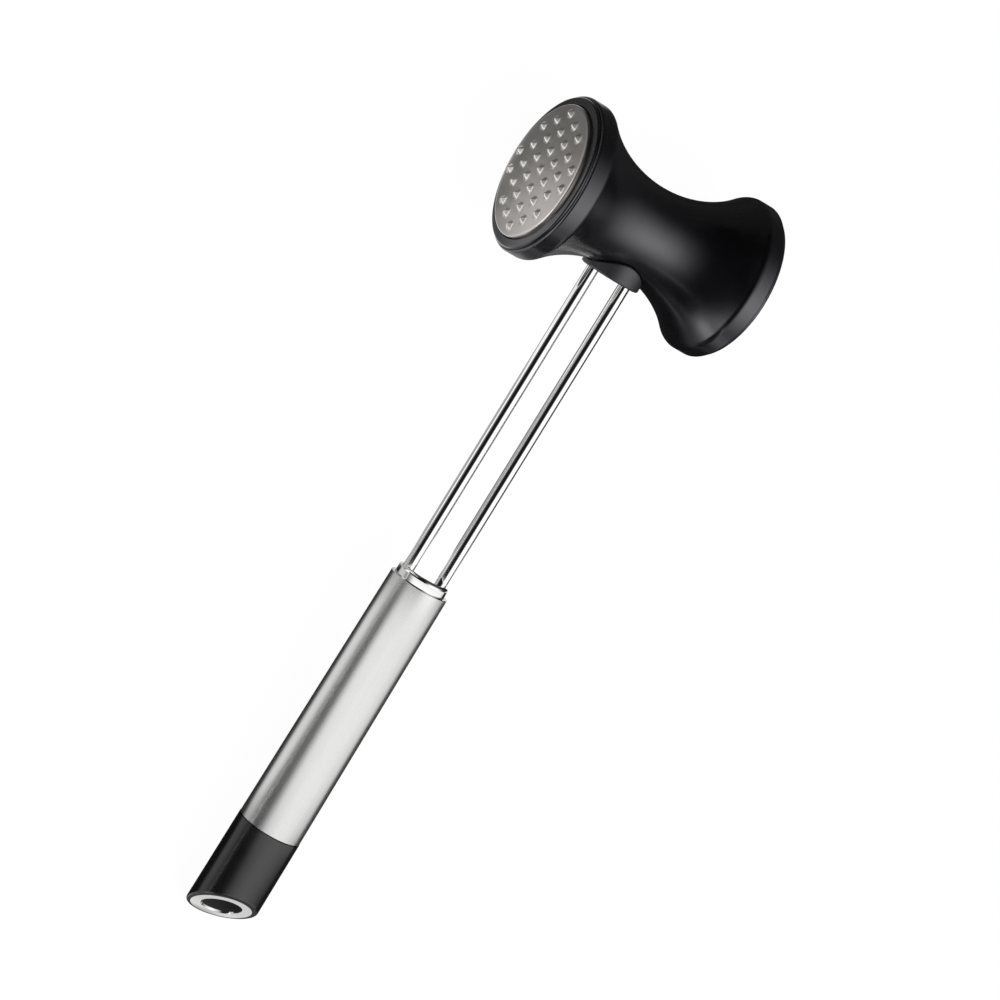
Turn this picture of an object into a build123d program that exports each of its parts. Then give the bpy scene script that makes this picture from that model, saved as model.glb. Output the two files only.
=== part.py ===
"""Meat tenderizer: a hammer with a spool-shaped head, two rods and a tapered grip, lying on its side.

Millimetres. The head axis runs along X with the studded plate towards -X, the handle points towards -Y and dips
so that both head rims and the end cap touch the ground at Z = 0. Lengths along the handle count from the head axis.
"""

import os
from math import asin, atan2, ceil, cos, degrees, hypot, radians, sin, sqrt, tan

from build123d import *

# Clearances and the overrun that carries cuts past the faces they open
fit_clearance = 0.05
slide_clearance = 0.15
overrun = 5.0

# Striking plates
plate_radius = 25.65
plate_thickness = 3.0
plate_stand = 1.5
plate_edge_round = 0.9
plate_gap = 0.45
seal_thickness = 1.0
seal_width = 3.6

# Pyramid studs, in staggered rows that lie almost along the handle
stud_base = 3.5
stud_tip = 0.7
stud_corner = 0.45
stud_tip_corner = 0.25
stud_height = 1.5
stud_pitch = 7.3
stud_row_gap = 7.1
stud_margin = 3.0
stud_turn = 6.0

# Head core, a steel bar along the head axis
core_radius = 12.4
core_edge = 1.0
thread_radius = 3.0
plate_stud_gap = 3.95
set_screw_length = 8.0
set_screw_socket = 3.0
set_screw_socket_depth = 3.5

# Head shell
head_half_length = 43.0
waist_wall = 4.05
rim_wall = 4.15
rim_band = 6.7
rim_step = 1.05
rim_edge = 0.85
lip_height = 1.4
lip_edge = 0.9
edge_limit_share = 0.9
shoulder_radius = 3.3
mouth_step = 0.4

# Rods
rod_radius = 2.3
rod_spacing = 14.4
rod_depth = 8.0
rod_end_edge = 0.4
rod_thread_radius = 1.5
rod_thread_spare = 1.0

# Collar under the head
collar_wall = 1.9
collar_reach = 20.0
collar_edge_round = 0.8
collar_gap = 0.3
collar_saddle_round = 0.4
neck_wall = 0.8

# Front plug and its gasket
plug_wall = 0.5
plug_stand = 4.0
plug_length = 16.0
plug_edge_round = 1.3
plug_seal_thickness = 1.5

# Grip sleeve
sleeve_front = 148.0
sleeve_length = 103.4
sleeve_wall = 1.25
sleeve_flare = 0.9
sleeve_edge = 0.15

# Tie plate, washers and nuts inside the sleeve, and the room left behind them
tie_thickness = 3.0
washer_radius = 3.0
washer_thickness = 0.6
nut_across_flats = 5.5
nut_height = 2.4
nut_room = 4.1

# End cap
cap_step = 0.12
cap_flare = 0.28
cap_joint_gap = 0.2
cap_length = 34.1
cap_slant = 34.5
cap_edge = 0.9
cap_wall = 1.65
spigot_length = 7.0
spigot_wall = 3.4
cap_hollow_depth = 6.4
cap_floor = 4.0
cap_seal_radius = 0.9
cap_seal_inset = 3.0

# Hanging ring inlaid in the slanted end, and the hook chamber deep behind it
ring_bore_radius = 7.2
ring_thickness = 0.8
ring_edge_round = 0.32
hook_lip = 1.8
hook_chamber_depth = 8.0

# Cap screw
screw_radius = 2.0
screw_spare = 3.5
screw_head_radius = 3.5
screw_head_height = 2.6
screw_socket = 2.5
screw_socket_depth = 1.6

# Head sizes that follow
plate_face = head_half_length + plate_stand
plate_back = plate_face - plate_thickness
recess_floor = plate_back - seal_thickness
recess_radius = plate_radius + plate_gap
rim_radius = recess_radius + rim_wall
core_bore = core_radius + fit_clearance
waist_radius = core_bore + waist_wall
shoulder_x = head_half_length - rim_band
rim_rise = rim_radius - waist_radius
flare_radius = (shoulder_x**2 + rim_rise**2) / (2 * rim_rise) - shoulder_radius
flare_centre = waist_radius + flare_radius
flare_angle = degrees(asin(shoulder_x / (flare_radius + shoulder_radius)))
step_x = head_half_length - lip_height
lip_radius = rim_radius - rim_step
rim_round = min(rim_edge, rim_step * edge_limit_share)
lip_round = min(lip_edge, lip_height * edge_limit_share)
seal_inner = recess_radius - seal_width
mouth_radius = seal_inner - mouth_step
cavity_radius = flare_radius + waist_wall
cavity_x = sqrt(cavity_radius**2 - (flare_centre - mouth_radius) ** 2)
cavity_angle = degrees(asin(cavity_x / cavity_radius))

# Handle sizes that follow
rod_x = rod_spacing / 2
rod_reach = rod_x + rod_radius
rod_hole = rod_radius + fit_clearance
set_screw_x = rod_reach + fit_clearance
plate_stud_length = plate_back - set_screw_x - set_screw_length - plate_stud_gap
collar_radius = rod_reach + collar_wall
neck_radius = rod_reach + neck_wall
saddle_radius = flare_radius - collar_gap
saddle_half = collar_radius + overrun
saddle_angle = degrees(asin(saddle_half / saddle_radius))
saddle_top = flare_centre - sqrt(saddle_radius**2 - saddle_half**2)
plug_radius = rod_reach + plug_wall
plug_front = sleeve_front - plug_stand
plug_back = plug_front + plug_length
carrier_front = plug_back + plug_seal_thickness
sleeve_back = sleeve_front + sleeve_length
cap_front = sleeve_back + cap_joint_gap
spigot_front = cap_front - spigot_length
rod_end = spigot_front - nut_room
nut_back = rod_end - rod_thread_spare
nut_front = nut_back - nut_height
tie_back = nut_front - washer_thickness
tie_front = tie_back - tie_thickness
carrier_length = tie_front - carrier_front
sleeve_bore_front = plug_radius + slide_clearance
sleeve_radius_front = sleeve_bore_front + sleeve_wall
sleeve_radius_back = sleeve_radius_front + sleeve_flare

# End cap sizes that follow
cap_radius_front = sleeve_radius_back + cap_step
cap_radius_end = cap_radius_front + cap_flare
cap_middle = cap_front + cap_length
slant_rise = cap_radius_end * tan(radians(cap_slant))
cap_long = cap_middle + slant_rise
hollow_back = cap_front + cap_hollow_depth
floor_back = hollow_back + cap_floor
bore_front = floor_back + hook_chamber_depth
ring_radius = cap_radius_front - cap_wall
chamber_radius = ring_bore_radius + hook_lip
screw_tip = tie_front - screw_spare
screw_length = floor_back - screw_tip

# Pose on the ground: the dip of the handle, and the origin under the middle of the whole part
tip_reach = cap_long - cap_edge / tan(radians(90 - cap_slant) / 2)
tip_drop = cap_radius_end - cap_edge
handle_dip = asin((rim_radius - cap_edge) / hypot(tip_reach, tip_drop)) - atan2(tip_drop, tip_reach)
length_behind = tip_reach * cos(handle_dip) - tip_drop * sin(handle_dip) + cap_edge
head_centre = Vector(stud_height / 2, (length_behind - rim_radius) / 2, rim_radius)
along = Vector(0, -cos(handle_dip), -sin(handle_dip))
upward = Vector(0, -sin(handle_dip), cos(handle_dip))

# Work planes: the head's profile, both striking ends, square across the handle, and the grip's profile
head_profile = Plane(origin=head_centre, x_dir=(1, 0, 0), z_dir=(0, 0, 1))
studded_end = Plane(origin=head_centre, x_dir=along, z_dir=(-1, 0, 0))
smooth_end = Plane(origin=head_centre, x_dir=along, z_dir=(1, 0, 0))
handle_plane = Plane(origin=head_centre, x_dir=(1, 0, 0), z_dir=along)
grip_profile = Plane(origin=head_centre, x_dir=(1, 0, 0), z_dir=-upward)
head_axis = Axis(head_centre, (1, 0, 0))
grip_axis = Axis(head_centre, along)
slant_normal = along * cos(radians(cap_slant)) + upward * sin(radians(cap_slant))
slant_plane = Plane(origin=head_centre + along * cap_middle, x_dir=(1, 0, 0), z_dir=slant_normal)
seat_plane = slant_plane.offset(-ring_thickness)
ends = {"studded": studded_end, "smooth": smooth_end}
rod_sides = {"studded": -rod_x, "smooth": rod_x}
rod_spots = [(x, 0) for x in rod_sides.values()]

os.makedirs("parts", exist_ok=True)


def keep(builder, name):
    """Labels a finished piece and writes its file."""
    builder.part.label = name
    export_step(builder.part, f"parts/{name}.step")


def sleeve_bore(reach):
    """Radius of the sleeve's tapered bore at a distance along the handle."""
    return sleeve_bore_front + sleeve_flare * (reach - sleeve_front) / sleeve_length


def stud_spots():
    """Centres of the studs on a plate: staggered rows, as many as the plate's face holds."""
    field = plate_radius - stud_margin
    rows = int(field / stud_row_gap)
    spots = []
    for row in range(-rows, rows + 1):
        across = row * stud_row_gap
        shift = stud_pitch / 2 if row % 2 else 0
        columns = ceil(field / stud_pitch)
        for column in range(-columns - 1, columns + 1):
            down = column * stud_pitch + shift
            if hypot(down, across) < field:
                spots.append((down, across))
    return spots


# Head shell: one moulded spool, hollow from both ends, with a seat and a raised lip for each plate
with BuildPart() as head_shell:
    with BuildSketch(head_profile):
        with BuildLine():
            CenterArc((0, flare_centre), flare_radius, -90, flare_angle)
            CenterArc((shoulder_x, rim_radius - shoulder_radius), shoulder_radius, 90, flare_angle)
            Line((shoulder_x, rim_radius), (step_x - rim_round, rim_radius))
            CenterArc((step_x - rim_round, rim_radius - rim_round), rim_round, 0, 90)
            Polyline(
                (step_x, rim_radius - rim_round),
                (step_x, lip_radius),
                (head_half_length - lip_round, lip_radius),
            )
            CenterArc((head_half_length - lip_round, lip_radius - lip_round), lip_round, 0, 90)
            Polyline(
                (head_half_length, lip_radius - lip_round),
                (head_half_length, recess_radius),
                (recess_floor, recess_radius),
                (recess_floor, mouth_radius),
                (cavity_x, mouth_radius),
            )
            CenterArc((0, flare_centre), cavity_radius, -90, cavity_angle)
            Line((0, core_bore), (0, waist_radius))
        make_face()
        mirror(about=Plane.YZ)
    revolve(axis=head_axis)
    with BuildSketch(handle_plane):
        Circle(neck_radius + slide_clearance)
    extrude(amount=waist_radius + overrun, mode=Mode.SUBTRACT)
keep(head_shell, "head_shell")

# Head core: drilled across for the rods and tapped from both ends
with BuildPart() as head_core:
    with BuildSketch(smooth_end):
        Circle(core_radius)
    extrude(amount=plate_back, both=True)
    chamfer(head_core.edges().filter_by(GeomType.CIRCLE), length=core_edge)
    with BuildSketch(smooth_end):
        Circle(thread_radius + fit_clearance)
    extrude(amount=plate_back, both=True, mode=Mode.SUBTRACT)
    with BuildSketch(handle_plane.offset(-rod_depth)):
        with Locations(*rod_spots):
            Circle(rod_hole)
    extrude(amount=rod_depth + core_radius + overrun, mode=Mode.SUBTRACT)
keep(head_core, "head_core")

# One stud: a blunt four-sided pyramid with softened corners
with BuildPart() as stud:
    with BuildSketch():
        RectangleRounded(stud_base, stud_base, stud_corner)
    with BuildSketch(Plane.XY.offset(stud_height)):
        RectangleRounded(stud_tip, stud_tip, stud_tip_corner)
    loft()

# Striking plates: plain discs with rounded edges, the studded one with its pyramids
for end_name, end_plane in ends.items():
    with BuildPart() as plate:
        with BuildSketch(end_plane.offset(plate_back)):
            Circle(plate_radius)
        extrude(amount=plate_thickness)
        front_face = plate.faces().filter_by(end_plane).sort_by(Axis(end_plane.origin, end_plane.z_dir))[-1]
        fillet(front_face.edges(), radius=plate_edge_round)
        if end_name == "studded":
            with Locations(end_plane.offset(plate_face)):
                with Locations(Location((0, 0, 0), (0, 0, stud_turn))):
                    with Locations(*stud_spots()):
                        add(stud.part)
    keep(plate, f"{end_name}_plate")

# Flat gaskets under the plates
for end_name, end_plane in ends.items():
    with BuildPart() as plate_seal:
        with BuildSketch(end_plane.offset(recess_floor)):
            Circle(recess_radius - fit_clearance)
            Circle(seal_inner, mode=Mode.SUBTRACT)
        extrude(amount=seal_thickness)
    keep(plate_seal, f"{end_name}_plate_seal")

# Threaded studs on the backs of the plates
for end_name, end_plane in ends.items():
    with BuildPart() as plate_stud:
        with BuildSketch(end_plane.offset(plate_back)):
            Circle(thread_radius)
        extrude(amount=-plate_stud_length)
    keep(plate_stud, f"{end_name}_plate_stud")

# Grub screws that lock the rods in the core
with BuildPart() as rod_set_screws:
    for end_plane in ends.values():
        with BuildSketch(end_plane.offset(set_screw_x)):
            Circle(thread_radius)
        extrude(amount=set_screw_length)
        with BuildSketch(end_plane.offset(set_screw_x + set_screw_length)):
            RegularPolygon(set_screw_socket / 2, side_count=6, major_radius=False)
        extrude(amount=-set_screw_socket_depth, mode=Mode.SUBTRACT)
keep(rod_set_screws, "rod_set_screws")

# Collar: a rounded saddle on the shell's waist, with a neck that goes through the shell to the core
with BuildPart() as collar:
    with BuildSketch(handle_plane):
        Circle(collar_radius)
    extrude(amount=collar_reach)
    with BuildSketch(grip_profile):
        with BuildLine():
            CenterArc((0, flare_centre), saddle_radius, -90 - saddle_angle, 2 * saddle_angle)
            Polyline((-saddle_half, saddle_top), (-saddle_half, 0), (saddle_half, 0), (saddle_half, saddle_top))
        make_face()
    revolve(axis=head_axis, mode=Mode.SUBTRACT)
    lower_face = collar.faces().filter_by(handle_plane).sort_by(grip_axis)[-1]
    saddle_edges = collar.edges() - lower_face.edges()
    fillet(saddle_edges.filter_by(GeomType.LINE, reverse=True), radius=collar_saddle_round)
    lower_face = collar.faces().filter_by(handle_plane).sort_by(grip_axis)[-1]
    fillet(lower_face.edges(), radius=collar_edge_round)
    with BuildSketch(handle_plane):
        Circle(neck_radius)
    extrude(amount=collar_reach - collar_edge_round)
    with BuildSketch(smooth_end):
        Circle(core_bore)
    extrude(amount=saddle_half, both=True, mode=Mode.SUBTRACT)
    with BuildSketch(handle_plane):
        with Locations(*rod_spots):
            Circle(rod_hole)
    extrude(amount=collar_reach, mode=Mode.SUBTRACT)
keep(collar, "collar")

# Rods: plain in the head, reduced to a thread behind the tie plate
for end_name, rod_side in rod_sides.items():
    with BuildPart() as rod:
        with BuildSketch(handle_plane.offset(-rod_depth)):
            with Locations((rod_side, 0)):
                Circle(rod_radius)
        extrude(amount=rod_depth + tie_front)
        head_tip = rod.faces().filter_by(handle_plane).sort_by(grip_axis)[0]
        chamfer(head_tip.edges(), length=rod_end_edge)
        with BuildSketch(handle_plane.offset(tie_front)):
            with Locations((rod_side, 0)):
                Circle(rod_thread_radius)
        extrude(amount=rod_end - tie_front)
    keep(rod, f"{end_name}_side_rod")

# Front plug, standing out of the sleeve
with BuildPart() as front_plug:
    with BuildSketch(handle_plane.offset(plug_front)):
        Circle(plug_radius)
    extrude(amount=plug_length)
    plug_face = front_plug.faces().filter_by(handle_plane).sort_by(grip_axis)[0]
    fillet(plug_face.edges(), radius=min(plug_edge_round, plug_stand))
    with BuildSketch(handle_plane.offset(plug_front)):
        with Locations(*rod_spots):
            Circle(rod_hole)
    extrude(amount=plug_length, mode=Mode.SUBTRACT)
keep(front_plug, "front_plug")

# Rubber gasket behind the plug, tight round the rods
with BuildPart() as plug_seal:
    with BuildSketch(handle_plane.offset(plug_back)):
        Circle(sleeve_bore(plug_back) - fit_clearance)
        with Locations(*rod_spots):
            Circle(rod_hole, mode=Mode.SUBTRACT)
    extrude(amount=plug_seal_thickness)
keep(plug_seal, "plug_seal")

# Grip sleeve: a tapered tube with broken edges
with BuildPart() as handle_sleeve:
    with BuildSketch(grip_profile):
        with BuildLine():
            Polyline(
                (sleeve_bore(sleeve_front), sleeve_front),
                (sleeve_radius_front, sleeve_front),
                (sleeve_radius_back, sleeve_back),
                (sleeve_bore(sleeve_back), sleeve_back),
                close=True,
            )
        make_face()
    revolve(axis=grip_axis)
    sleeve_ends = handle_sleeve.faces().filter_by(handle_plane)
    outer_edges = [face.outer_wire().edge() for face in sleeve_ends]
    chamfer(outer_edges, length=sleeve_edge)
keep(handle_sleeve, "handle_sleeve")

# Carrier that fills the sleeve's taper and guides the rods
with BuildPart() as handle_carrier:
    with BuildSketch(grip_profile):
        with BuildLine():
            Polyline(
                (0, carrier_front),
                (sleeve_bore(carrier_front) - slide_clearance, carrier_front),
                (sleeve_bore(tie_front) - slide_clearance, tie_front),
                (0, tie_front),
                close=True,
            )
        make_face()
    revolve(axis=grip_axis)
    with BuildSketch(handle_plane.offset(carrier_front)):
        Circle(screw_radius + slide_clearance)
        with Locations(*rod_spots):
            Circle(rod_hole)
    extrude(amount=carrier_length, mode=Mode.SUBTRACT)
keep(handle_carrier, "handle_carrier")

# Tie plate, tapped for the cap screw
with BuildPart() as tie_plate:
    with BuildSketch(handle_plane.offset(tie_front)):
        Circle(sleeve_bore(tie_front) - slide_clearance)
        Circle(screw_radius + fit_clearance, mode=Mode.SUBTRACT)
        with Locations(*rod_spots):
            Circle(rod_thread_radius + fit_clearance, mode=Mode.SUBTRACT)
    extrude(amount=tie_thickness)
keep(tie_plate, "tie_plate")

# Washers on the rods' threads
with BuildPart() as rod_washers:
    with BuildSketch(handle_plane.offset(tie_back)):
        with Locations(*rod_spots):
            Circle(washer_radius)
            Circle(rod_thread_radius + fit_clearance, mode=Mode.SUBTRACT)
    extrude(amount=washer_thickness)
keep(rod_washers, "rod_washers")

# Nuts on the rods' threads
with BuildPart() as rod_nuts:
    with BuildSketch(handle_plane.offset(nut_front)):
        with Locations(*rod_spots):
            RegularPolygon(nut_across_flats / 2, side_count=6, major_radius=False)
            Circle(rod_thread_radius + fit_clearance, mode=Mode.SUBTRACT)
    extrude(amount=nut_height)
keep(rod_nuts, "rod_nuts")

# Seat for the ring, cut into the cap parallel to its slanted end
with BuildPart() as ring_seat:
    with BuildSketch(handle_plane.offset(bore_front)):
        Circle(ring_radius + fit_clearance)
    extrude(amount=cap_long + overrun - bore_front)
    split(bisect_by=seat_plane, keep=Keep.TOP)

# End cap: spigot in the sleeve, floor for the screw, hook chamber, bore and ring seat, cut off at a slant
spigot_radius = sleeve_bore(spigot_front) - fit_clearance
spigot_bore = spigot_radius - spigot_wall
cap_seal_reach = spigot_front + cap_seal_inset
cap_seal_ring = sleeve_bore(cap_seal_reach) - fit_clearance - cap_seal_radius
groove_floor = cap_seal_ring - cap_seal_radius - fit_clearance
groove_half = cap_seal_radius + fit_clearance
with BuildPart() as end_cap:
    with BuildSketch(grip_profile):
        with BuildLine():
            Polyline(
                (spigot_bore, spigot_front),
                (spigot_radius, spigot_front),
                (spigot_radius, cap_seal_reach - groove_half),
                (groove_floor, cap_seal_reach - groove_half),
                (groove_floor, cap_seal_reach + groove_half),
                (spigot_radius, cap_seal_reach + groove_half),
                (spigot_radius, cap_front),
                (cap_radius_front, cap_front),
                (cap_radius_end, cap_long),
                (cap_radius_end, cap_long + overrun),
                (ring_bore_radius, cap_long + overrun),
                (ring_bore_radius, bore_front),
                (chamber_radius, bore_front),
                (chamber_radius, floor_back),
                (screw_radius + slide_clearance, floor_back),
                (screw_radius + slide_clearance, hollow_back),
                (spigot_bore, hollow_back),
                close=True,
            )
        make_face()
    revolve(axis=grip_axis)
    split(bisect_by=slant_plane, keep=Keep.BOTTOM)
    slant_face = end_cap.faces().filter_by(slant_plane).sort_by(grip_axis)[-1]
    fillet(slant_face.outer_wire().edges(), radius=cap_edge)
    add(ring_seat.part, mode=Mode.SUBTRACT)
keep(end_cap, "end_cap")

# O-ring in the spigot's groove
with BuildPart() as cap_seal:
    with BuildSketch(grip_profile):
        with Locations((cap_seal_ring, cap_seal_reach)):
            Circle(cap_seal_radius)
    revolve(axis=grip_axis)
keep(cap_seal, "cap_seal")

# Hanging ring, flush with the cap's slanted end
with BuildPart() as end_ring:
    with BuildSketch(grip_profile):
        with BuildLine():
            Polyline(
                (ring_bore_radius, bore_front),
                (ring_radius, bore_front),
                (ring_radius, cap_long + overrun),
                (ring_bore_radius, cap_long + overrun),
                close=True,
            )
        make_face()
    revolve(axis=grip_axis)
    split(bisect_by=slant_plane, keep=Keep.BOTTOM)
    split(bisect_by=seat_plane, keep=Keep.TOP)
    ring_face = end_ring.faces().filter_by(slant_plane).sort_by(grip_axis)[-1]
    fillet(ring_face.inner_wires()[0].edges(), radius=ring_edge_round)
keep(end_ring, "end_ring")

# Screw from the bottom of the hook chamber into the tie plate
with BuildPart() as cap_screw:
    with BuildSketch(handle_plane.offset(screw_tip)):
        Circle(screw_radius)
    extrude(amount=screw_length)
    with BuildSketch(handle_plane.offset(floor_back)):
        Circle(screw_head_radius)
    extrude(amount=screw_head_height)
    with BuildSketch(handle_plane.offset(floor_back + screw_head_height)):
        RegularPolygon(screw_socket / 2, side_count=6, major_radius=False)
    extrude(amount=-screw_socket_depth, mode=Mode.SUBTRACT)
keep(cap_screw, "cap_screw")
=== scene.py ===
"""Meat tenderizer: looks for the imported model, seen and lit as in the product photograph."""
from math import atan2, ceil, cos, hypot, pi, radians, sin

import bpy
from mathutils import Matrix, Vector


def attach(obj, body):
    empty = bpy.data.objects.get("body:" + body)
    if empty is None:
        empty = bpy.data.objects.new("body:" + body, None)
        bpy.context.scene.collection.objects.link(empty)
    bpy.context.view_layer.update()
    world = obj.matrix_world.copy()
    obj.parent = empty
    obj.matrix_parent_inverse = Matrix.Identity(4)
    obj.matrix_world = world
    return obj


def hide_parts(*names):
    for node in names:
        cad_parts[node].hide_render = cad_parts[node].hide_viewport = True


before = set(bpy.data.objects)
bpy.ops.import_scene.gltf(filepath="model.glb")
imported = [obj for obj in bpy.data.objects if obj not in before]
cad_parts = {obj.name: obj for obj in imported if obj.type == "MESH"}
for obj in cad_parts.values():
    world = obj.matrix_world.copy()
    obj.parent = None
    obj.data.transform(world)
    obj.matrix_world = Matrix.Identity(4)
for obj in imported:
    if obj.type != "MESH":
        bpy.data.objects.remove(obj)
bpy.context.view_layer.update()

MM = 0.001

# The tool's own axes in the frame: out of the studded face, towards the grip's end, and up
DIP = radians(3.44142)
HEAD_CENTRE = Vector((0.75, 131.06583, 30.25)) * MM
OUT = Vector((-1, 0, 0))
ALONG = Vector((0, -cos(DIP), -sin(DIP)))
UP = Vector((0, -sin(DIP), cos(DIP)))

# Camera fitted to the photograph: its axes and the head's centre as it sees them
CAMERA_RIGHT = (-0.7798003, -0.5213931, 0.3464978)
CAMERA_DOWN = (-0.4150328, 0.8449383, 0.3373826)
CAMERA_FORWARD = (-0.4686782, 0.1192831, -0.8752784)
HEAD_SEEN_AT = (48.624, -95.179, 1240.363)
FOCAL_PX = 3543.9
IMAGE_PX = 1000
SENSOR_MM = 36.0

# Studded plate, in mm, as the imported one
PLATE_FACE = 44.5
PLATE_RADIUS = 25.65
PLATE_THICKNESS = 3.0
PLATE_EDGE = 0.9
STUD_BASE = 3.5
STUD_TIP = 0.7
STUD_HEIGHT = 1.5
STUD_PITCH = 7.3
STUD_ROW_GAP = 7.1
STUD_MARGIN = 3.0
STUD_TURN = radians(6.0)

# End cap, in mm: where its slanted end crosses the handle's axis, the slant, a radius just outside its hollows,
# how the dull surface starts at the hollows and at the slanted end, and its roughness
CAP_MIDDLE = 285.7
CAP_SLANT = radians(34.5)
CAP_HOLLOW = 9.4
CAP_HOLLOW_FADE = 0.3
CAP_END_FADE = (0.12, 0.04)
DULL_ROUGHNESS = 0.9

# How tone and gloss wander over a surface: the shares and details of patches and grain, and the span that counts
PATCH_SHARE = 0.7
PATCH_DETAIL = 3.0
GRAIN_SHARE = 0.3
GRAIN_DETAIL = 2.0
WANDER_SPAN = (0.3, 0.7)

# Floor: half its width in m, its paint, and how white it is to the eye and in reflections
FLOOR_HALF = 20
FLOOR_PAINT = 0.9
FLOOR_WHITE = 1.05
FLOOR_WHITE_SHARE = 0.93

# The grip as its card takes it: its mean radius in mm, and where the camera is round it, in degrees from up
GRIP_RADIUS = 11.8
GRIP_SEEN_FROM = 28

# Levels of the studio's light: overhead, low down and level on the studded side, and haze from above and all round
OVERHEAD = 2.8
LOW_GLOW = 4.2
SIDE_GLOW = 0.6
UPPER_HAZE = 0.06
HAZE = 0.015


def from_tool(parts):
    """A direction given along the tool's axes, in the frame."""
    return OUT * parts[0] + ALONG * parts[1] + UP * parts[2]


def tool_point(out, along, up):
    """A place given in mm along the tool's axes from the head's centre, in the frame."""
    return HEAD_CENTRE + from_tool((out * MM, along * MM, up * MM))


def rise(start, end, value):
    """A smooth step from 0 at start to 1 at end."""
    share = min(max((value - start) / (end - start), 0), 1)
    return share * share * (3 - 2 * share)


def between(low, high, soft, value):
    """1 between two bounds, with soft edges."""
    return rise(low - soft, low + soft, value) * (1 - rise(high - soft, high + soft, value))


def blend_levels(level, targets):
    """Draws a level towards each target in turn by its share."""
    for target, share in targets:
        level += (target - level) * share
    return level


def add_camera():
    """The camera of the photograph, as fitted."""
    right = from_tool(CAMERA_RIGHT).normalized()
    down = from_tool(CAMERA_DOWN).normalized()
    forward = from_tool(CAMERA_FORWARD).normalized()
    place = HEAD_CENTRE.copy()
    for axis, reach in zip((right, down, forward), HEAD_SEEN_AT):
        place -= axis * reach * MM
    data = bpy.data.cameras.new("camera")
    data.sensor_width = SENSOR_MM
    data.lens = FOCAL_PX * SENSOR_MM / IMAGE_PX
    data.clip_start = 0.01
    data.clip_end = 50
    camera = bpy.data.objects.new("camera", data)
    camera.matrix_world = Matrix(
        (
            (right.x, -down.x, -forward.x, place.x),
            (right.y, -down.y, -forward.y, place.y),
            (right.z, -down.z, -forward.z, place.z),
            (0, 0, 0, 1),
        )
    )
    bpy.context.scene.collection.objects.link(camera)
    bpy.context.scene.camera = camera


class Tree:
    """Short calls for the nodes of one material or world."""

    def __init__(self, owner):
        owner.use_nodes = True
        self.tree = owner.node_tree
        self.tree.nodes.clear()

    def add(self, kind, **settings):
        node = self.tree.nodes.new(kind)
        for key, value in settings.items():
            setattr(node, key, value)
        return node

    def put(self, socket, value):
        """Links a socket to another, or sets its value."""
        if isinstance(value, bpy.types.NodeSocket):
            self.tree.links.new(value, socket)
        else:
            socket.default_value = value

    def math(self, operation, first, second):
        node = self.add("ShaderNodeMath", operation=operation)
        self.put(node.inputs[0], first)
        self.put(node.inputs[1], second)
        return node.outputs[0]

    def product(self, *values):
        total = values[0]
        for value in values[1:]:
            total = self.math("MULTIPLY", total, value)
        return total

    def total(self, *values):
        total = values[0]
        for value in values[1:]:
            total = self.math("ADD", total, value)
        return total

    def dot(self, vector, axis):
        node = self.add("ShaderNodeVectorMath", operation="DOT_PRODUCT")
        self.put(node.inputs[0], vector)
        node.inputs[1].default_value = axis
        return node.outputs["Value"]

    def ramp(self, value, start, end, low=0.0, high=1.0):
        """A smooth step from low at start to high at end."""
        node = self.add("ShaderNodeMapRange", interpolation_type="SMOOTHSTEP")
        for name, given in (
            ("Value", value), ("From Min", start), ("From Max", end), ("To Min", low), ("To Max", high),
        ):
            self.put(node.inputs[name], given)
        return node.outputs["Result"]

    def place(self, stretch=(1, 1, 1)):
        """The surface point in mm along the tool's axes, stretched for a texture."""
        moved = self.add("ShaderNodeVectorMath", operation="SUBTRACT")
        self.put(moved.inputs[0], self.add("ShaderNodeTexCoord").outputs["Object"])
        moved.inputs[1].default_value = HEAD_CENTRE
        joined = self.add("ShaderNodeCombineXYZ")
        for socket, axis, factor in zip(joined.inputs, (OUT, ALONG, UP), stretch):
            self.put(socket, self.dot(moved.outputs[0], axis * factor / MM))
        return joined.outputs[0]

    def noise(self, vector, scale, detail):
        node = self.add("ShaderNodeTexNoise")
        self.put(node.inputs["Vector"], vector)
        node.inputs["Scale"].default_value = scale
        node.inputs["Detail"].default_value = detail
        return node.outputs["Fac"]

    def tint(self, value, dark, light):
        """A colour between two, by a value."""
        node = self.add("ShaderNodeMix", data_type="RGBA")
        self.put(node.inputs["Factor"], value)
        node.inputs[6].default_value = (*dark, 1)
        node.inputs[7].default_value = (*light, 1)
        return node.outputs[2]

    def bump(self, height, strength, depth_mm):
        node = self.add("ShaderNodeBump")
        self.put(node.inputs["Height"], height)
        node.inputs["Strength"].default_value = strength
        node.inputs["Distance"].default_value = depth_mm * MM
        return node.outputs["Normal"]

    def surface(self, shader):
        out = self.add("ShaderNodeOutputMaterial")
        self.put(out.inputs["Surface"], shader.outputs[0])


def cap_dull(tree):
    """1 in the cap's hollows and on its slanted end, 0 on its outside."""
    place = tree.place()
    out, along, up = (tree.dot(place, axis) for axis in ((1, 0, 0), (0, 1, 0), (0, 0, 1)))
    radius = tree.math("SQRT", tree.total(tree.product(out, out), tree.product(up, up)), 0)
    end = tree.total(tree.product(along, cos(CAP_SLANT)), tree.product(up, sin(CAP_SLANT)))
    face = CAP_MIDDLE * cos(CAP_SLANT)
    hollow = tree.ramp(radius, CAP_HOLLOW + CAP_HOLLOW_FADE, CAP_HOLLOW)
    slanted = tree.ramp(end, *(face - short for short in CAP_END_FADE))
    return tree.math("MAXIMUM", hollow, slanted)


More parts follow.
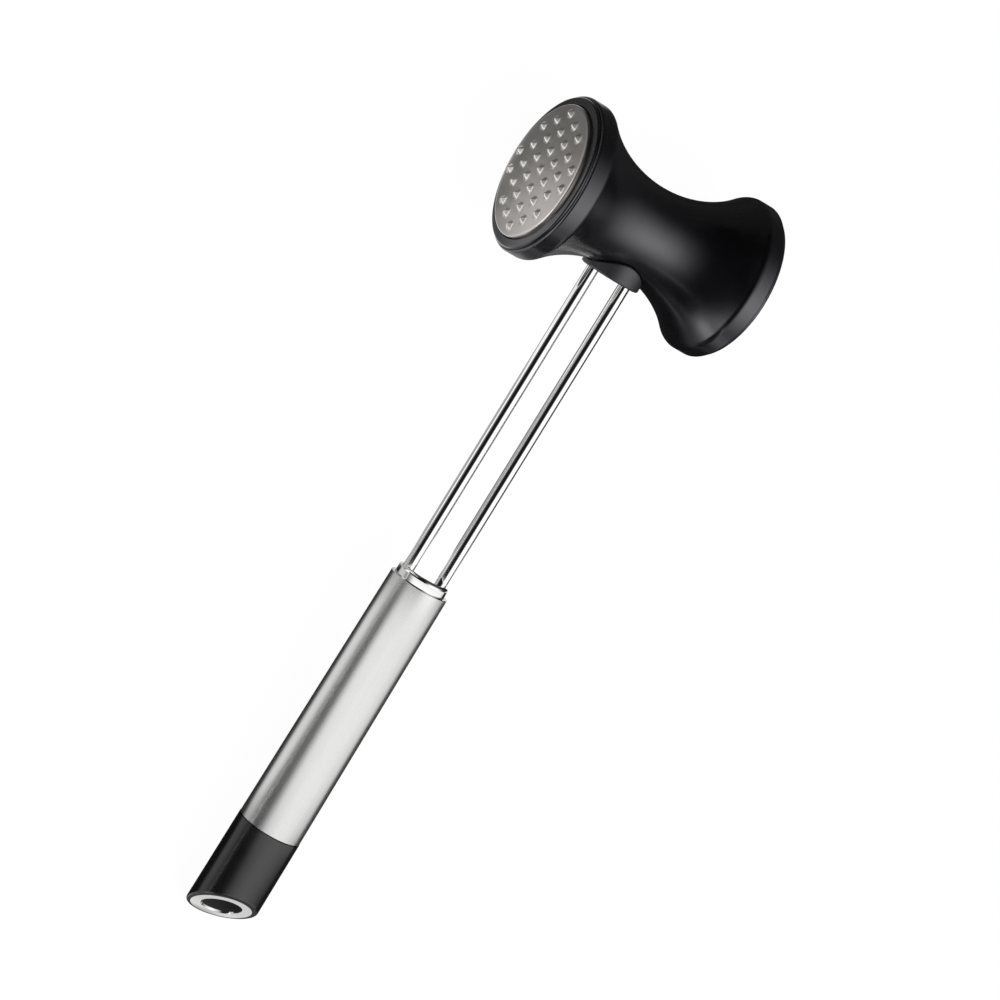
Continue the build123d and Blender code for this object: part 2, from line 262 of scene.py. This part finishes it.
def finish(
    name, colours, roughness, grain, metallic=0.0, specular=0.5, tint=(1, 1, 1), patches=0.12, streak=1.0, dull=None
):
    """A surface of one stuff: tone and gloss wander over it in patches, and a fine grain roughens it.

    grain is its scale per mm, its strength and its depth in mm; streak below 1 draws both out along the tool.
    dull gives where the surface is left rough.
    """
    material = bpy.data.materials.new(name)
    tree = Tree(material)
    shader = tree.add("ShaderNodeBsdfPrincipled")
    tree.surface(shader)
    place = tree.place((1, streak, 1))
    scale, strength, depth = grain
    fine = tree.noise(place, scale, GRAIN_DETAIL)
    broad = tree.noise(place, patches, PATCH_DETAIL)
    wander = tree.total(tree.product(broad, PATCH_SHARE), tree.product(fine, GRAIN_SHARE))
    tree.put(shader.inputs["Base Color"], tree.tint(tree.ramp(wander, *WANDER_SPAN), *colours))
    gloss = tree.ramp(wander, *WANDER_SPAN, *roughness)
    if dull:
        gloss = tree.math("MAXIMUM", gloss, tree.product(dull(tree), DULL_ROUGHNESS))
    tree.put(shader.inputs["Roughness"], gloss)
    tree.put(shader.inputs["Normal"], tree.bump(fine, strength, depth))
    shader.inputs["Metallic"].default_value = metallic
    shader.inputs["Specular IOR Level"].default_value = specular
    shader.inputs["Specular Tint"].default_value = (*tint, 1)
    return material


def make_finishes():
    """All finishes by name, each with two colours, the span of its roughness, and its grain."""
    return {
        "head_plastic": finish(
            "head_plastic", ((0.0035, 0.0036, 0.0047), (0.0053, 0.0054, 0.007)), (0.21, 0.26), (3.0, 0.14, 0.02),
            specular=0.85, tint=(0.95, 0.94, 1)),
        # The collar: duller plastic than the head's, with its colour painted lighter than the head's black for the
        # light it catches
        "collar_plastic_painted_light": finish(
            "collar_plastic_painted_light", ((0.015, 0.015, 0.0165), (0.019, 0.019, 0.0207)), (0.46, 0.52), (3.0, 0.14, 0.02),
            specular=1.0, tint=(0.95, 0.94, 1)),
        "grip_plastic": finish(
            "grip_plastic", ((0.003, 0.003, 0.0032), (0.0045, 0.0045, 0.0048)), (0.2, 0.25), (4.0, 0.08, 0.02),
            specular=0.75, dull=cap_dull),
        "plate_steel": finish(
            "plate_steel", ((0.485, 0.462, 0.438), (0.535, 0.512, 0.488)), (0.28, 0.34), (4.0, 0.1, 0.02),
            metallic=1.0),
        "satin_steel": finish(
            "satin_steel", ((0.5, 0.485, 0.465), (0.57, 0.555, 0.535)), (0.42, 0.5), (4.0, 0.1, 0.02), metallic=0.6),
        "sleeve_steel": finish(
            "sleeve_steel", ((0.56, 0.56, 0.555), (0.6, 0.6, 0.595)), (0.25, 0.3), (8.0, 0.03, 0.01), metallic=1.0,
            patches=0.25, streak=0.02),
        "polished_steel": finish(
            "polished_steel", ((0.79, 0.79, 0.785), (0.83, 0.83, 0.825)), (0.05, 0.07), (6.0, 0.01, 0.01),
            metallic=1.0),
        "inner_steel": finish(
            "inner_steel", ((0.4, 0.41, 0.43), (0.55, 0.56, 0.58)), (0.25, 0.42), (3.0, 0.1, 0.02), metallic=1.0),
        "inner_plastic": finish(
            "inner_plastic", ((0.03, 0.03, 0.032), (0.05, 0.05, 0.052)), (0.45, 0.55), (3.0, 0.15, 0.03)),
        "seal_rubber": finish(
            "seal_rubber", ((0.008, 0.008, 0.008), (0.016, 0.016, 0.016)), (0.6, 0.75), (6.0, 0.2, 0.03),
            specular=0.4),
    }


def dress_nodes(finishes):
    """Gives each CAD node the finish of its slot; the collar is duller than the head and its colour is painted
    lighter for the light it catches, the smooth plate satin.
    """
    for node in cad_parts.values():
        for slot in node.material_slots:
            slot.material = finishes[slot.material.name.split(".")[0]]
    # The collar gets its plastic with painted light, the smooth plate the satin steel
    for name, stuff in (("collar", "collar_plastic_painted_light"), ("smooth_plate", "satin_steel")):
        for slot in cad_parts[name].material_slots:
            slot.material = finishes[stuff]


def add_mesh(name, points, faces, material):
    mesh = bpy.data.meshes.new(name)
    mesh.from_pydata(points, [], faces)
    mesh.materials.append(material)
    piece = bpy.data.objects.new(name, mesh)
    bpy.context.scene.collection.objects.link(piece)
    return piece


def grid_faces(rows, width):
    """The faces of a grid of points that are listed row by row."""
    return [
        (row * width + i, row * width + i + 1, (row + 1) * width + i + 1, (row + 1) * width + i)
        for row in range(rows - 1) for i in range(width - 1)
    ]


def stud_spots():
    """Centres of the studs: staggered rows, as many as the plate's face holds."""
    field = PLATE_RADIUS - STUD_MARGIN
    rows = int(field / STUD_ROW_GAP)
    columns = ceil(field / STUD_PITCH)
    spots = []
    for row in range(-rows, rows + 1):
        shift = STUD_PITCH / 2 if row % 2 else 0
        for column in range(-columns - 1, columns + 1):
            spot = (column * STUD_PITCH + shift, row * STUD_ROW_GAP)
            if hypot(*spot) < field:
                spots.append(spot)
    return spots


def soft_over(value, soft):
    """The value where it is above 0, rounded off over a soft width."""
    if abs(value) >= soft:
        return max(value, 0)
    return (value + soft) ** 2 / (4 * soft)


def stud_rise(along, up, spots):
    """Height of the plate's face at a point: pyramids with rounded ridges, blunt tips and hollow-rounded feet."""
    ridge_power = 3.8
    foot_soft = 0.36
    tip_soft = 0.18
    slope = 2 * STUD_HEIGHT / (STUD_BASE - STUD_TIP)
    down = along * cos(STUD_TURN) + up * sin(STUD_TURN)
    across = up * cos(STUD_TURN) - along * sin(STUD_TURN)
    height = 0
    for spot in spots:
        p, q = abs(down - spot[0]), abs(across - spot[1])
        if max(p, q) < STUD_BASE:
            reach = (p**ridge_power + q**ridge_power) ** (1 / ridge_power)
            rising = soft_over((STUD_BASE / 2 - reach) * slope, foot_soft)
            height = max(height, STUD_HEIGHT - soft_over(STUD_HEIGHT - rising, tip_soft))
    return height


def on_disc(x, y):
    """A point of the square from -1 to 1, moved onto the disc so that the square's edge becomes its circle."""
    if x == 0 and y == 0:
        return 0, 0
    if abs(x) > abs(y):
        return x * cos(pi / 4 * y / x), x * sin(pi / 4 * y / x)
    return y * sin(pi / 4 * x / y), y * cos(pi / 4 * x / y)


def add_studded_plate(material):
    """The studded plate with its studs rounded: a fine grid on the disc, then its rounded edge, side and back."""
    cells = 208
    edge_steps = 6
    spots = stud_spots()
    flat = PLATE_RADIUS - PLATE_EDGE
    points = []
    for row in range(cells + 1):
        for column in range(cells + 1):
            along, up = on_disc(2 * column / cells - 1, 2 * row / cells - 1)
            along, up = along * flat, up * flat
            points.append(tool_point(PLATE_FACE + stud_rise(along, up, spots), along, up))
    side = cells + 1
    faces = grid_faces(side, side)
    rim = list(range(side))
    rim += [row * side + cells for row in range(1, side)]
    rim += [cells * side + i for i in range(cells - 1, -1, -1)]
    rim += [row * side for row in range(cells - 1, 0, -1)]
    turns = []
    for index in rim:
        column, row = index % side, index // side
        along, up = on_disc(2 * column / cells - 1, 2 * row / cells - 1)
        turns.append(atan2(up, along))
    rings = [(flat + PLATE_EDGE * sin(a), PLATE_FACE - PLATE_EDGE * (1 - cos(a)))
             for a in (pi / 2 * step / edge_steps for step in range(1, edge_steps + 1))]
    rings.append((PLATE_RADIUS, PLATE_FACE - PLATE_THICKNESS))
    last = rim
    for radius, out in rings:
        ring = range(len(points), len(points) + len(rim))
        points += [tool_point(out, radius * cos(turn), radius * sin(turn)) for turn in turns]
        faces += [(last[i - 1], ring[i - 1], ring[i], last[i]) for i in range(len(rim))]
        last = ring
    faces.append(tuple(last))
    plate = add_mesh("studded_face", points, faces, material)
    plate.data.polygons.foreach_set("use_smooth", [True] * (len(faces) - 1) + [False])
    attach(plate, "root")
    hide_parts("studded_plate")


def add_floor():
    """A pale floor: white to the eye and in reflections, apart from a little of its own shade."""
    material = bpy.data.materials.new("floor")
    tree = Tree(material)
    paint = tree.add("ShaderNodeBsdfDiffuse")
    paint.inputs["Color"].default_value = (FLOOR_PAINT, FLOOR_PAINT, FLOOR_PAINT, 1)
    white = tree.add("ShaderNodeEmission")
    white.inputs["Strength"].default_value = FLOOR_WHITE
    rays = tree.add("ShaderNodeLightPath").outputs
    mirrored = tree.math("MAXIMUM", rays["Is Glossy Ray"], rays["Is Transmission Ray"])
    mix = tree.add("ShaderNodeMixShader")
    tree.put(mix.inputs[0], tree.product(tree.math("MAXIMUM", rays["Is Camera Ray"], mirrored), FLOOR_WHITE_SHARE))
    tree.put(mix.inputs[1], paint.outputs[0])
    tree.put(mix.inputs[2], white.outputs[0])
    tree.surface(mix)
    corners = [(x * FLOOR_HALF, y * FLOOR_HALF, 0) for x, y in ((-1, -1), (1, -1), (1, 1), (-1, 1))]
    floor = add_mesh("floor", corners, [(0, 1, 2, 3)], material)


def add_card(name, grid, levels):
    """A studio card that shows in glossy surfaces and nowhere else, from rows of points and how bright each is."""
    material = bpy.data.materials.new(name)
    tree = Tree(material)
    light = tree.add("ShaderNodeEmission")
    tree.put(light.inputs["Strength"], tree.add("ShaderNodeAttribute", attribute_name="light").outputs["Fac"])
    tree.surface(light)
    material.cycles.emission_sampling = "NONE"
    points = [point for row in grid for point in row]
    card = add_mesh(name, points, grid_faces(len(grid), len(grid[0])), material)
    values = card.data.attributes.new("light", "FLOAT", "POINT")
    values.data.foreach_set("value", [level for row in levels for level in row])
    card.visible_camera = False
    card.visible_diffuse = False
    card.visible_transmission = False
    card.visible_shadow = False


def ground_light(out, along):
    """How bright the ground is in reflections, by mm out of the studded side and along the handle."""
    base = 0.95
    dark = 0.02
    # Far bound of the painted dark reflection on the smooth side
    painted_dark_far = -3000
    before_plate = between(-70, 45, 10, along)
    # Painted shade of the head on the ground before the plate, as glossy surfaces see it
    painted_shade_under_plate = 0.18 - 0.12 * (1 - rise(-26, -18, along))
    flat_glow = 0.2 + 0.85 * rise(-16, 14, along) * (0.12 + 0.88 * rise(55, 68, out))
    beside_grip = 1.12 - 0.72 * rise(44, 135, out)
    beside_grip *= 0.6 + 0.4 * between(160, 248, 8, along)
    low_light_end = 138 + 0.1 * out
    # Where the painted dark reflection under the grip ends, out of the studded side and along the handle
    painted_dark_edge = 24 + 5 * rise(245, 262, along)
    painted_dark_start = 149 - 5 * rise(-4, 2, out)
    return blend_levels(
        base,
        (
            # On the studded side of the rods
            (0.5, between(12, 46, 6, out) * between(14, 150, 6, along)),
            (0.28, between(38, 60, 5, out) * between(72, 150, 8, along)),
            # Before the studded plate and at its foot, and painted shade under the head's rim there
            (flat_glow, between(50, 86, 3, out) * before_plate),
            (painted_shade_under_plate, between(45, 52, 2, out) * between(-70, 24, 6, along)),
            (1.6, between(32, 45, 2, out) * between(-6, 60, 6, along)),
            # Painted shade under the rods
            (dark, between(-30, -13, 2, out) * between(12, 135, 3, along)),
            (0.2, between(-13, 13, 2, out) * between(12, 135, 3, along)),
            # Farther out on the studded side: off the plate, beside the rods, beside the grip and past its end
            (0.55, rise(78, 88, out) * (1 - rise(30, 44, along))),
            (1.3, rise(82, 98, out) * (1 - rise(700, 1500, out)) * between(34, low_light_end, 12, along)),
            (beside_grip, rise(18, 25, out) * rise(140, 152, along) * rise(low_light_end - 12, low_light_end, along)),
            (2.2, rise(0.36, 0.46, (out + 30) / max(along, 1)) * rise(335, 400, along)),
            # Past the end cap
            (0.72, between(-45, 60, 10, out) * between(296, 352, 4, along)),
            (0.15, (1 - rise(60, 95, out)) * rise(348, 372, along)),
            # A painted dark reflection under the grip, and on the smooth side past the grip's end and beside the rods
            (dark, between(painted_dark_far, painted_dark_edge, 2, out) * between(painted_dark_start, 294, 1.5, along)),
            (dark, (1 - rise(-38, -28, out)) * between(290, 460, 4, along)),
            (dark, between(painted_dark_far, -26, 4, out) * between(14, 141, 4, along)),
            # The strip that the plug mirrors
            (1.3, between(-32, -2, 3, out) * between(134, 147, 1.5, along)),
            # Painted shade under the head, and dark behind everything
            (0.03, (1 - rise(14, 26, out)) * (1 - rise(8, 16, along))),
            (0.06, 1 - rise(-60, -42, along)),
        ),
    )


def add_ground():
    """Ground as the glossy surfaces see it, with painted shade under the head and the rods: a painted dark reflection
    beside the grip, dark behind the head, bright on the studded side.
    """
    step = 4
    far = (500, 800, 1600, 4000, 12000)
    outs = [-x for x in reversed(far)] + list(range(-320, 324, step)) + list(far)
    alongs = [-x for x in reversed(far)] + list(range(-320, 444, step)) + list(far)
    height = 0.3 * MM
    grid = [[(HEAD_CENTRE.x - o * MM, HEAD_CENTRE.y - a * MM, height) for o in outs] for a in alongs]
    add_card("ground_card", grid, [[ground_light(o, a) for o in outs] for a in alongs])


def grip_light(angle, along):
    """How bright the card over the grip is, by degrees from up towards the studded side and mm along the handle."""
    over_plug = 1 - rise(154, 160, along)
    over_cap = between(266.5, 329, 5.5, along)
    edge = 63 - 22 * rise(153, 312, along) + 13 * over_plug
    at_front = (1 - rise(162, 190, along)) * rise(-20, 20, angle)
    sleeve = 1.36 + 0.16 * at_front - 0.4 * (1 - rise(-110, -20, angle))
    sleeve *= 0.03 + 0.97 * rise(-104, -75, angle)
    plug = 0.06 + 0.94 * rise(-116, -102, angle)
    cap = 1.27 * rise(-104, -8, angle) * (1 - 0.9 * rise(-12, 62, angle))
    gap = 0.14 - 0.12 * rise(261, 272, along)
    level = blend_levels(sleeve, ((plug, over_plug), (cap, over_cap)))
    return blend_levels(level, ((gap, rise(edge - 14, edge + 10, angle)),))


def mirrored_to(angle, reach):
    """Where the ray that the grip mirrors towards an angle crosses a circle round its axis, in degrees from up."""
    turn, way = radians((angle + GRIP_SEEN_FROM) / 2), radians(angle)
    part = GRIP_RADIUS * cos(way - turn)
    run = (part * part + reach * reach - GRIP_RADIUS * GRIP_RADIUS) ** 0.5 - part
    side = GRIP_RADIUS * sin(turn) + run * sin(way)
    height = GRIP_RADIUS * cos(turn) + run * cos(way)
    return atan2(side, height) * 180 / pi


def add_grip_card():
    """A card well off the grip that fans out from the head, so that the head sees it edge on.

    The grip mirrors each row of levels at a station, along rays whose lean towards the grip's end grows with it.
    """
    fan = 0.75
    row_start, row_scale = 2.1, 1.048
    lean_start, lean_growth = 0.034, 0.00077
    ray_foot = 10
    level_reach = 70
    ways = range(-118, 94, 4)
    alongs = [153.4, *range(154, 319, 5), 324, 334, 350, 380, 420, 480, 545]
    grid, levels = [], []
    for along in alongs:
        station = (along - row_start) / row_scale
        lean = lean_start + lean_growth * station
        reach = fan * (station - ray_foot * lean) / (1 - fan * lean)
        turns = [radians(mirrored_to(way, reach)) for way in ways]
        grid.append([tool_point(reach * sin(turn), reach / fan, reach * cos(turn)) for turn in turns])
        levels.append([grip_light(mirrored_to(way, level_reach), along) for way in ways])
    add_card("grip_card", grid, levels)


def stud_light(along, up):
    """How bright the card before the studded face is, by mm along the handle and up from the head's centre."""
    return 0.3 + (0.3 + 1.15 * (1 - rise(22, 46, up))) * rise(-40, -10, along)


def add_stud_card():
    """A card before the studded face, bright low down, for the feet of the studs."""
    out = 144
    alongs = (-140, -80, -40, -30, -20, -10, 0, 36)
    ups = range(-28, 120, 4)
    grid = [[tool_point(out, along, up) for along in alongs] for up in ups]
    add_card("stud_card", grid, [[stud_light(along, up) for along in alongs] for up in ups])


def add_world():
    """A dim studio with a big soft light overhead and a low glow on the studded side.

    angle is in degrees round the handle, from up towards the studded side; along is 1 towards the grip's end.
    """
    world = bpy.data.worlds.new("studio")
    bpy.context.scene.world = world
    tree = Tree(world)
    look = tree.add("ShaderNodeTexCoord").outputs["Generated"]
    angle = tree.product(tree.math("ARCTAN2", tree.dot(look, OUT), tree.dot(look, UP)), 180 / pi)
    along = tree.dot(look, ALONG)
    over = tree.product(
        tree.ramp(angle, -90, -35), tree.ramp(angle, 15, -23),
        tree.ramp(along, -0.9, 0.25), tree.ramp(along, 1.0, 0.2), OVERHEAD,
    )
    aside = tree.ramp(tree.dot(look, OUT), 0.32, 0.46)
    low = tree.product(
        tree.ramp(angle, 44, 86), tree.ramp(along, 0.1, 0.6), tree.ramp(along, 1.0, 0.88), aside, LOW_GLOW,
    )
    side = tree.product(tree.ramp(angle, 58, 94), tree.ramp(along, -0.35, 0.2), aside, SIDE_GLOW)
    haze = tree.total(side, tree.product(tree.ramp(angle, 5, -20), UPPER_HAZE), HAZE)
    light = tree.add("ShaderNodeBackground")
    tree.put(light.inputs["Strength"], tree.total(over, low, haze))
    out = tree.add("ShaderNodeOutputWorld")
    tree.put(out.inputs["Surface"], light.outputs[0])


add_camera()
finishes = make_finishes()
dress_nodes(finishes)
add_studded_plate(finishes["plate_steel"])
add_floor()
add_ground()
add_grip_card()
add_stud_card()
add_world()
bpy.context.scene.view_settings.view_transform = "Standard"
